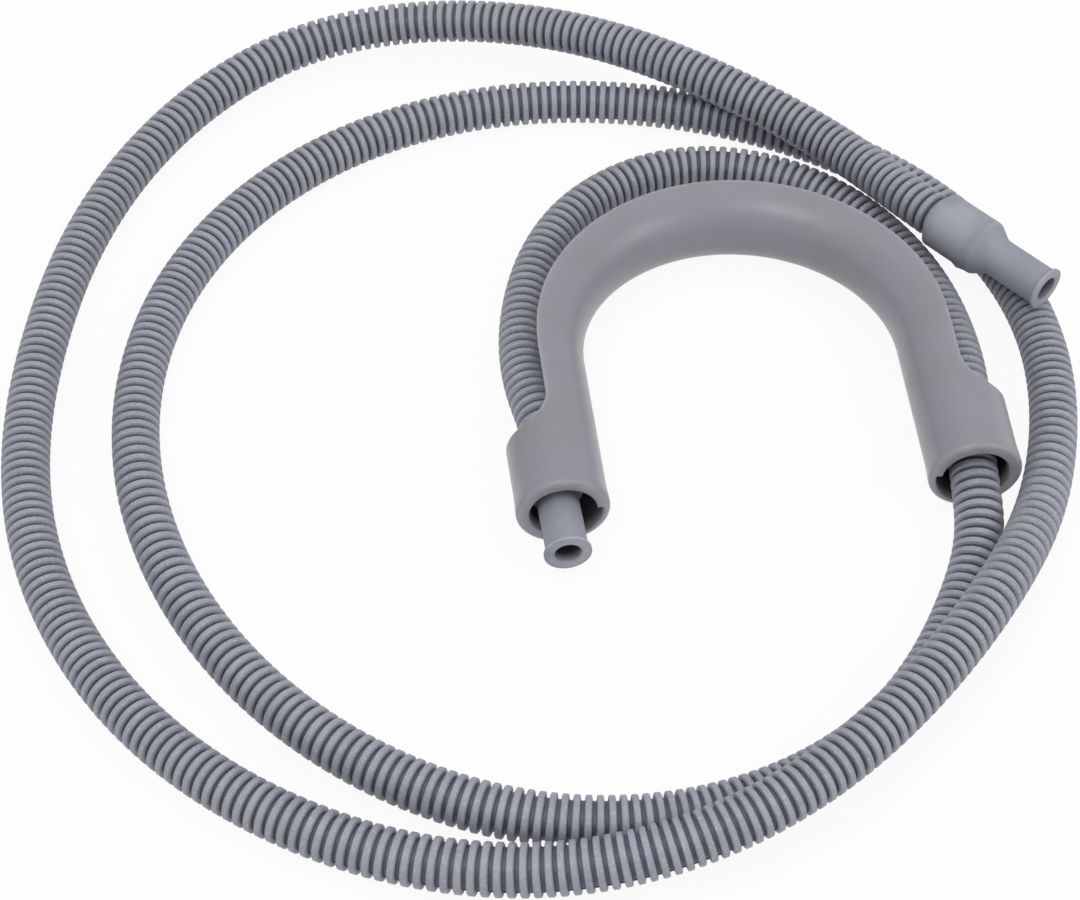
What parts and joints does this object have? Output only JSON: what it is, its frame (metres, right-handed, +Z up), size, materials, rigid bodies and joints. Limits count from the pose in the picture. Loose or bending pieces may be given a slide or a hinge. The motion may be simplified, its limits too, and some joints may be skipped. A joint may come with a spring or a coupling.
{
  "type": "condenser dryer drain hose",
  "caption": "Long grey corrugated drain hose, lying in loose loops, with a moulded cuff on each end and a U-shaped half-round crook that hooks it over a basin edge.",
  "frame": {"origin": "on the floor under the middle of the crook's box, hose and cuffs not counted", "axes": "+X from the crook's left leg to its right leg, +Y from its two mouths towards its bend, +Z up; the crook lies flat on the floor"},
  "size_m": [0.365, 0.3919, 0.0353],
  "materials": {
    "hose_grey": "semi-matt",
    "cuff_grey": "matt",
    "crook_grey": "satin"
  },
  "bodies": {
    "root": {"drain_hose": "hose_grey", "drain_end_cuff": "cuff_grey", "machine_end_cuff": "cuff_grey", "hose_crook": "crook_grey"}
  },
  "joints": []
}
